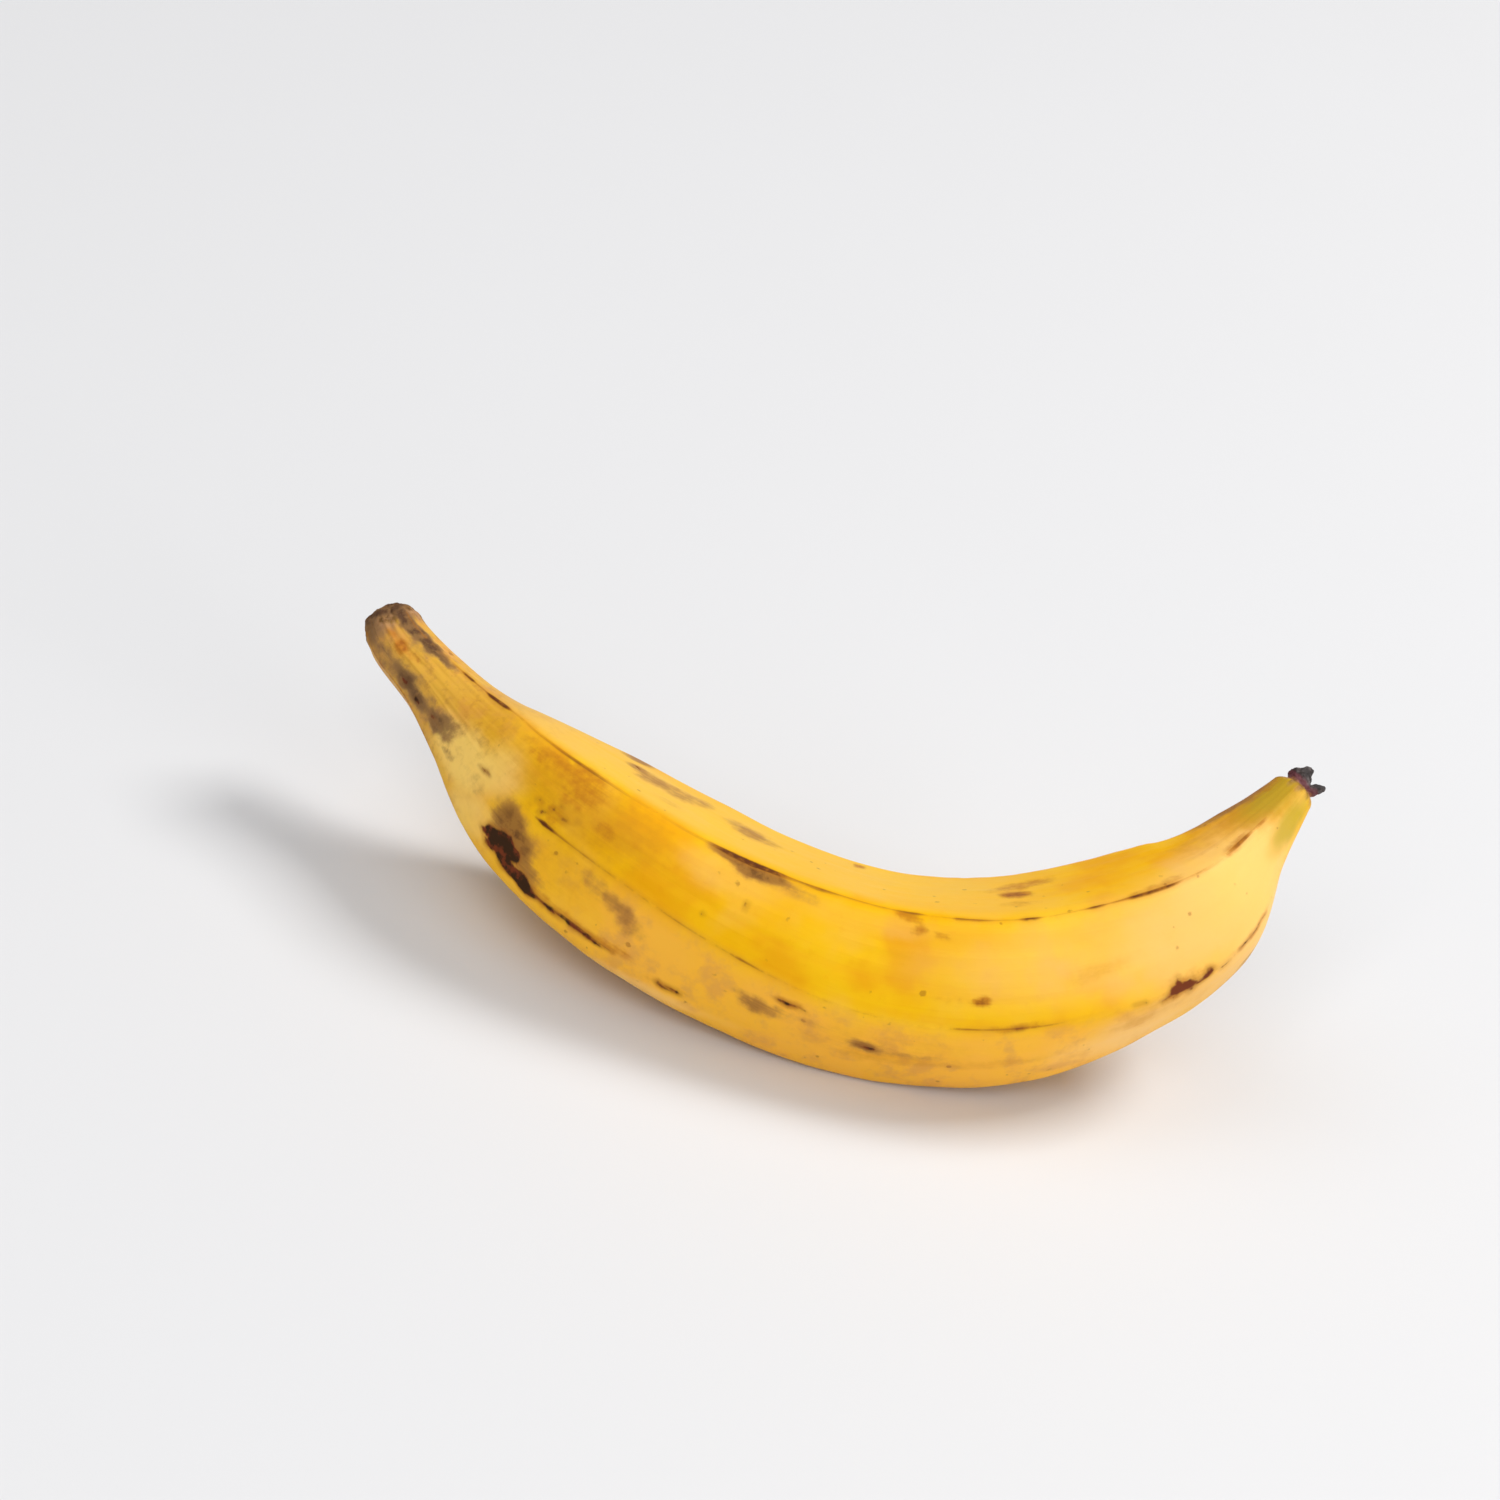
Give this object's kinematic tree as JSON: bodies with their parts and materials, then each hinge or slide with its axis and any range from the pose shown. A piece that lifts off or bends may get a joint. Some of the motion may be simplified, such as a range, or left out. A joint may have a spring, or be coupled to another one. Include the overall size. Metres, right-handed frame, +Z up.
{
  "type": "plantain",
  "caption": "Ripe plantain lying on its side: a bent, five-sided fruit that narrows to a neck and dried stalk end, and to a tip with a dried flower rest.",
  "frame": {"origin": "centre of the bounding box's bottom face, on the surface that the fruit lies on", "axes": "+X along the length from the stalk end to the blossom end, +Y to the hollow side, +Z up"},
  "size_m": [0.2342, 0.0826, 0.0706],
  "materials": {
    "peel": "waxy satin skin, golden yellow with brown bruises, dark at both ends"
  },
  "bodies": {
    "root": {"plantain": "peel"}
  },
  "joints": []
}
